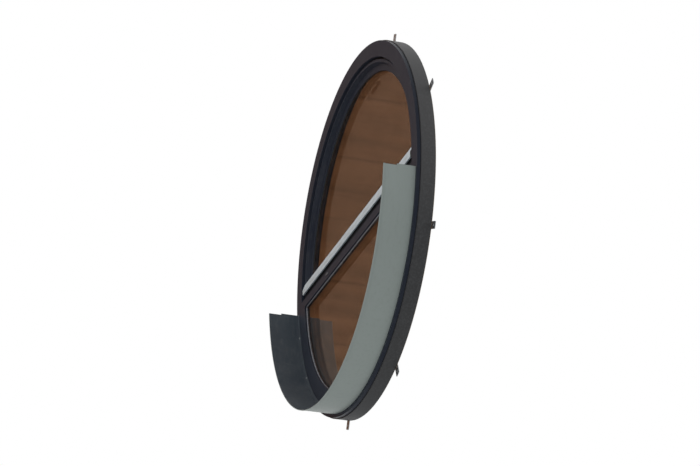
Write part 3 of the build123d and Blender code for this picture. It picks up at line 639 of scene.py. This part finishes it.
def bar_ends(shape, thick):
    """A cap over each end of the weather bar, with the bar's own section."""
    front, foot = BAR_LOW.y - END_RIM, BAR_LOW.z - END_RIM
    root, crest = BAR_HIGH.y - ROOT_GAP, BAR_HIGH.z - CREST_DROP
    section = (
        (root, crest),
        (front, BAR_LOW.z + BAR_NOSE),
        (front, foot),
        (BAR_LOW.y + END_FOOT, foot),
        (root, crest - END_ROOT),
    )
    for side in (-1, 1):
        inner, outer = side * (BAR_HIGH.x - END_LAP), side * (BAR_HIGH.x + thick)
        near = [shape.verts.new((inner, y, z)) for y, z in section]
        away = [shape.verts.new((outer, y, z)) for y, z in section]
        shape.faces.new(near)
        shape.faces.new(away)
        for i in range(len(section)):
            j = (i + 1) % len(section)
            shape.faces.new((near[i], near[j], away[j], away[i]))


def repeat_tree(name, template, material):
    """Copies a template to each point of a mesh and turns it to the point's own direction."""
    tree = bpy.data.node_groups.new(name, "GeometryNodeTree")
    geometry = "NodeSocketGeometry"
    tree.interface.new_socket(name="Geometry", in_out="INPUT", socket_type=geometry)
    size = tree.interface.new_socket(name="Size", in_out="INPUT", socket_type=FLOAT)
    size.default_value = 1.0
    tree.interface.new_socket(name="Geometry", in_out="OUTPUT", socket_type=geometry)
    given = node(tree, "NodeGroupInput").outputs
    info = settle(node(tree, "GeometryNodeObjectInfo"), Object=template)
    direction = settle(node(tree, "GeometryNodeInputNamedAttribute", data_type="FLOAT_VECTOR"),
                       Name="facing")
    turned = settle(node(tree, "FunctionNodeAlignRotationToVector", axis="Z"),
                    Vector=direction.outputs["Attribute"])
    copies = settle(node(tree, "GeometryNodeInstanceOnPoints"), Points=given["Geometry"],
                    Instance=info.outputs["Geometry"], Rotation=turned.outputs["Rotation"],
                    Scale=given["Size"])
    real = settle(node(tree, "GeometryNodeRealizeInstances"), Geometry=copies.outputs["Instances"])
    painted = settle(node(tree, "GeometryNodeSetMaterial"), Geometry=real.outputs["Geometry"],
                     Material=material)
    settle(node(tree, "NodeGroupOutput"), Geometry=painted.outputs["Geometry"])
    return tree, size.identifier


def repeated(name, template, size, spots, direction, body, slot):
    """Copies a template to spots as one plain mesh, and removes the template."""
    mesh = bpy.data.meshes.new(name + "_spots")
    mesh.from_pydata(spots, [], [])
    directions = mesh.attributes.new("facing", "FLOAT_VECTOR", "POINT")
    directions.data.foreach_set("vector", direction * len(spots))
    holder = new_object(name + "_holder", mesh)
    tree, size_id = repeat_tree(name + "_tree", template, bpy.data.materials[slot])
    modifier = holder.modifiers.new("Copies", "NODES")
    modifier.node_group = tree
    modifier[size_id] = size
    bpy.context.view_layer.update()
    plain_mesh(holder, name, body, slot)
    bpy.data.objects.remove(template)


def evenly(first, last, step):
    """Numbers from first to last at equal steps that are no shorter than the one given."""
    count = max(1, int((last - first) / step))
    return [first + (last - first) * i / count for i in range(count + 1)]


def arc_spots(radius, depth, first, last, step):
    """Spots on an arc round the window's axis. The angles are in degrees, the step in metres."""
    return [(radius * math.cos(math.radians(a)), depth, radius * math.sin(math.radians(a)))
            for a in evenly(first, last, math.degrees(step / radius))]


def row_spots(half, depth, level, step):
    return [(x, depth, level) for x in evenly(-half, half, step)]


class WINDOW_OT_bead_pins(bpy.types.Operator):
    """Drive the pins that hold the glazing beads, round both lights"""
    bl_idname = "window.bead_pins"
    bl_label = "Bead pins"

    def execute(self, context):
        look = context.scene.window_finish
        for light, level_bead, body in (("upper", "upper_bead_bottom", "sash"),
                                        ("lower", "lower_bead_top", "frame")):
            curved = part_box(light + "_bead_arc")[1]
            low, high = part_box(level_bead)
            radius = curved.x - look.pin_inset
            if light == "upper":
                level = low.z + look.pin_inset
                corner = math.degrees(math.asin(high.z / radius)) + PIN_MARGIN_ANGLE
                first, last = corner, 180 - corner
            else:
                level = high.z - look.pin_inset
                corner = math.degrees(math.asin(-low.z / radius)) + PIN_MARGIN_ANGLE
                first, last = corner - 180, -corner
            spots = arc_spots(radius, curved.y, first, last, look.pin_step)
            spots += row_spots(high.x - PIN_MARGIN, curved.y, level, look.pin_step)
            template = solid_of("pin_shape", lathe, PIN_PROFILE)
            repeated(light + "_bead_pins", template, look.pin_radius, spots, TOWARDS_ROOM, body,
                     "zinc_steel")
        return {"FINISHED"}


class WINDOW_OT_drain_caps(bpy.types.Operator):
    """Set the weep caps on the front of the transom"""
    bl_idname = "window.drain_caps"
    bl_label = "Drain caps"

    def execute(self, context):
        look = context.scene.window_finish
        low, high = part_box("cladding_transom")
        level = (low.z + high.z) / 2
        spots = [(x, low.y, level) for x in (-look.cap_place, look.cap_place)]
        template = solid_of("cap_shape", drain_cap, look.cap_width, look.cap_width * CAP_SHAPE)
        repeated("transom_drain_caps", template, 1.0, spots, TOWARDS_OUTSIDE, "frame",
                 "clip_plastic")
        return {"FINISHED"}


class WINDOW_OT_bar_ends(bpy.types.Operator):
    """Close both ends of the weather bar with moulded caps"""
    bl_idname = "window.bar_ends"
    bl_label = "Bar ends"

    def execute(self, context):
        look = context.scene.window_finish
        raw = solid_of("bar_end_caps", bar_ends, look.end_thick)
        soft = raw.modifiers.new("Soft edges", "BEVEL")
        soft.width = END_SOFTNESS
        soft.segments = 2
        plain_mesh(raw, "bar_end_caps", "sash", "clip_plastic")
        return {"FINISHED"}


# Stage

def make_world(scene, strength):
    """Even light, with a white background wherever the camera, a mirror or glass sees it."""
    world = bpy.data.worlds.new("studio_air")
    world.use_nodes = True
    scene.world = world
    tree = world.node_tree
    air = settle(tree.nodes["Background"], Color=colour(AIR), Strength=strength)
    white = settle(node(tree, "ShaderNodeBackground"), Color=colour(WHITE), Strength=1.0)
    rays = node(tree, "ShaderNodeLightPath").outputs
    mirrored = maths(tree, "MAXIMUM", rays["Is Glossy Ray"], rays["Is Transmission Ray"])
    mix = node(tree, "ShaderNodeMixShader")
    seen = maths(tree, "MAXIMUM", rays["Is Camera Ray"], mirrored)
    for socket, value in zip(mix.inputs, (seen, air.outputs[0], white.outputs[0])):
        fill(socket, value)
    settle(tree.nodes["World Output"], Surface=mix.outputs[0])


def make_floor(level, glow):
    """A pale floor that looks paler than it is lit, without lighting the window from below."""
    shape = bmesh.new()
    bmesh.ops.create_grid(shape, x_segments=8, y_segments=8, size=FLOOR_REACH)
    mesh = bpy.data.meshes.new("floor")
    shape.to_mesh(mesh)
    shape.free()
    mesh.transform(Matrix.Translation((0, 0, level)))
    floor = new_object("floor", mesh)
    material, tree, shader = new_material("pale_floor")
    shade = noise(tree, place(tree), scale=0.7)
    rays = node(tree, "ShaderNodeLightPath").outputs
    seen = maths(tree, "MAXIMUM", rays["Is Camera Ray"], rays["Is Transmission Ray"])
    settle(shader, Base_Color=blend(tree, shade, *map(colour, FLOOR_SHADES)), Roughness=0.8,
           Emission_Color=colour(WHITE), Emission_Strength=maths(tree, "MULTIPLY", seen, glow))
    mesh.materials.append(material)


def make_board(rgb):
    """A glowing wood-coloured board out of the picture that the panes mirror. The camera doesn't
    see it and it lights no diffuse surface: it shows only as a reflection.
    """
    mesh = bpy.data.meshes.new("warm_board")
    mesh.from_pydata(BOARD_CORNERS, [], [(0, 1, 2, 3)])
    board = new_object("warm_board", mesh)
    material, tree, shader = new_material("warm_board")
    where = place(tree)
    grain = noise(tree, stretched(tree, where, (9.0, 0.6, 9.0)), detail=5.0, roughness=0.6)
    to_joint = maths(tree, "PINGPONG", split(tree, where)["X"], PLANK_WIDTH / 2)
    joint = spread(tree, to_joint, 0.0, PLANK_JOINT, to_low=0.8, to_high=0.0)
    dark = maths(tree, "MAXIMUM", spread(tree, grain, 0.3, 0.75), joint)
    # The board glows instead of being lit, so that it shows as a reflection of wood
    settle(shader, Base_Color=colour(BLACK), Specular_IOR_Level=0.0, Emission_Strength=1.0,
           Emission_Color=blend(tree, dark, colour(rgb), toned(rgb, 0.45)))
    mesh.materials.append(material)
    board.visible_camera = False
    board.visible_diffuse = False
    board.visible_shadow = False


def aim(made, spot, target):
    """Sets a light or a camera in its place and turns it to a target."""
    made.location = spot
    made.rotation_euler = (Vector(target) - Vector(spot)).to_track_quat("-Z", "Y").to_euler()


def soft_light(name, spot, target, width, energy):
    lamp = bpy.data.lights.new(name, "AREA")
    lamp.shape = "DISK"
    lamp.size = width
    lamp.energy = energy
    aim(new_object(name, lamp), spot, target)


def make_camera(scene, spot, target, lens):
    optics = bpy.data.cameras.new("photo_camera")
    optics.lens = lens
    optics.clip_end = FAR_CLIP
    scene.camera = new_object("photo_camera", optics)
    aim(scene.camera, spot, target)


class WINDOW_OT_stage(bpy.types.Operator):
    """Set the floor, the board that the panes mirror, the soft lights and the camera"""
    bl_idname = "window.stage"
    bl_label = "Stage"

    def execute(self, context):
        look = context.scene.window_stage
        scene = context.scene
        scene.view_settings.view_transform = "Standard"
        make_world(scene, look.world_strength)
        make_floor(look.floor_level, look.floor_glow)
        make_board(look.board_colour)
        for name, spot, target, width, setting in SOFT_LIGHTS:
            soft_light(name, spot, target, width, getattr(look, setting))
        make_camera(scene, look.camera_place, look.camera_aim, look.lens)
        return {"FINISHED"}


# Settings a user would change

def amount(label, default, what, **kind):
    return bpy.props.FloatProperty(name=label, description=what, default=default, **kind)


def length(label, default, what):
    return amount(label, default, what, subtype="DISTANCE", unit="LENGTH")


def power(label, default, what):
    return amount(label, default, what, subtype="POWER", unit="POWER")


def tone(label, default, what):
    return bpy.props.FloatVectorProperty(name=label, description=what, default=default, size=3,
                                         subtype="COLOR", min=0.0, max=1.0)


def position(label, default, what):
    return bpy.props.FloatVectorProperty(name=label, description=what, default=default, size=3,
                                         subtype="TRANSLATION", unit="LENGTH")


class WindowFinish(bpy.types.PropertyGroup):
    cladding: tone("Cladding", (0.016, 0.0195, 0.029), "Powder coat on the ring and the sash")
    sill_face: tone("Sill face", (0.034, 0.045, 0.057), "Coating on the sill's weather face")
    sill_back: tone("Sill back", (0.215, 0.245, 0.23), "Lacquer on the back of the sill")
    bar_metal: tone("Weather bar", (0.52, 0.59, 0.63), "Anodised aluminium of the weather bar")
    light_wood: tone("Light wood", (0.62, 0.4, 0.21), "Early wood under the lacquer")
    dark_wood: tone("Dark wood", (0.36, 0.19, 0.08), "Late wood and knots")
    glass_tint: tone("Glass tint", (0.34, 0.27, 0.22), "Sun coating of the panes")
    ring_segments: bpy.props.IntProperty(
        name="Ring segments", description="Lengths of wood glued into a ring", default=12, min=3)
    pin_radius: length("Pin radius", 0.0018, "Head of a bead pin")
    pin_inset: length("Pin inset", 0.007, "From the bead's outer edge to its pins")
    pin_step: length("Pin step", 0.16, "Shortest distance between two bead pins")
    cap_width: length("Drain cap width", 0.036, "Weep cap on the transom")
    cap_place: length("Drain cap place", 0.46, "Each side of the middle")
    end_thick: length("Bar end", 0.002, "Thickness of the moulded ends of the weather bar")


class WindowStage(bpy.types.PropertyGroup):
    world_strength: amount("Air", 0.55, "Strength of the even light")
    floor_level: length("Floor level", -8.0, "Height of the pale floor")
    floor_glow: amount("Floor glow", 0.42, "How much paler the floor looks than it is lit")
    board_colour: tone("Board", (0.268, 0.128, 0.065), "Wooden board that the panes mirror")
    left_power: power("Left light", 500.0, "Soft light above the left")
    right_power: power("Right light", 180.0, "Soft light above the right")
    ground_power: power("Ground light", 160.0, "Soft light from below")
    room_power: power("Room light", 220.0, "Soft light from the room side")
    camera_place: position("Camera", (12.68, -4.31, -6.33), "Place of the camera")
    camera_aim: position("Aim", (0.0, -0.12, -0.03), "What the camera looks at")
    lens: amount("Lens", 142.0, "Focal length in millimetres", subtype="DISTANCE_CAMERA")


class WINDOW_PT_panel(bpy.types.Panel):
    bl_label = "Round Window"
    bl_idname = "WINDOW_PT_panel"
    bl_space_type = "VIEW_3D"
    bl_region_type = "UI"
    bl_category = "Round Window"

    def draw(self, context):
        for group in (context.scene.window_finish, context.scene.window_stage):
            box = self.layout.box()
            for name in group.__annotations__:
                box.prop(group, name)
        for step in STEPS:
            self.layout.operator(step.bl_idname)


STEPS = (WINDOW_OT_finishes, WINDOW_OT_bead_pins, WINDOW_OT_drain_caps, WINDOW_OT_bar_ends,
         WINDOW_OT_stage)
CLASSES = (WindowFinish, WindowStage, *STEPS, WINDOW_PT_panel)


def register():
    for cls in CLASSES:
        bpy.utils.register_class(cls)
    bpy.types.Scene.window_finish = bpy.props.PointerProperty(type=WindowFinish)
    bpy.types.Scene.window_stage = bpy.props.PointerProperty(type=WindowStage)


def unregister():
    del bpy.types.Scene.window_stage
    del bpy.types.Scene.window_finish
    for cls in reversed(CLASSES):
        bpy.utils.unregister_class(cls)


def main():
    register()
    bpy.ops.window.finishes()
    bpy.ops.window.bead_pins()
    bpy.ops.window.drain_caps()
    bpy.ops.window.bar_ends()
    bpy.ops.window.stage()


if __name__ == "__main__":
    main()
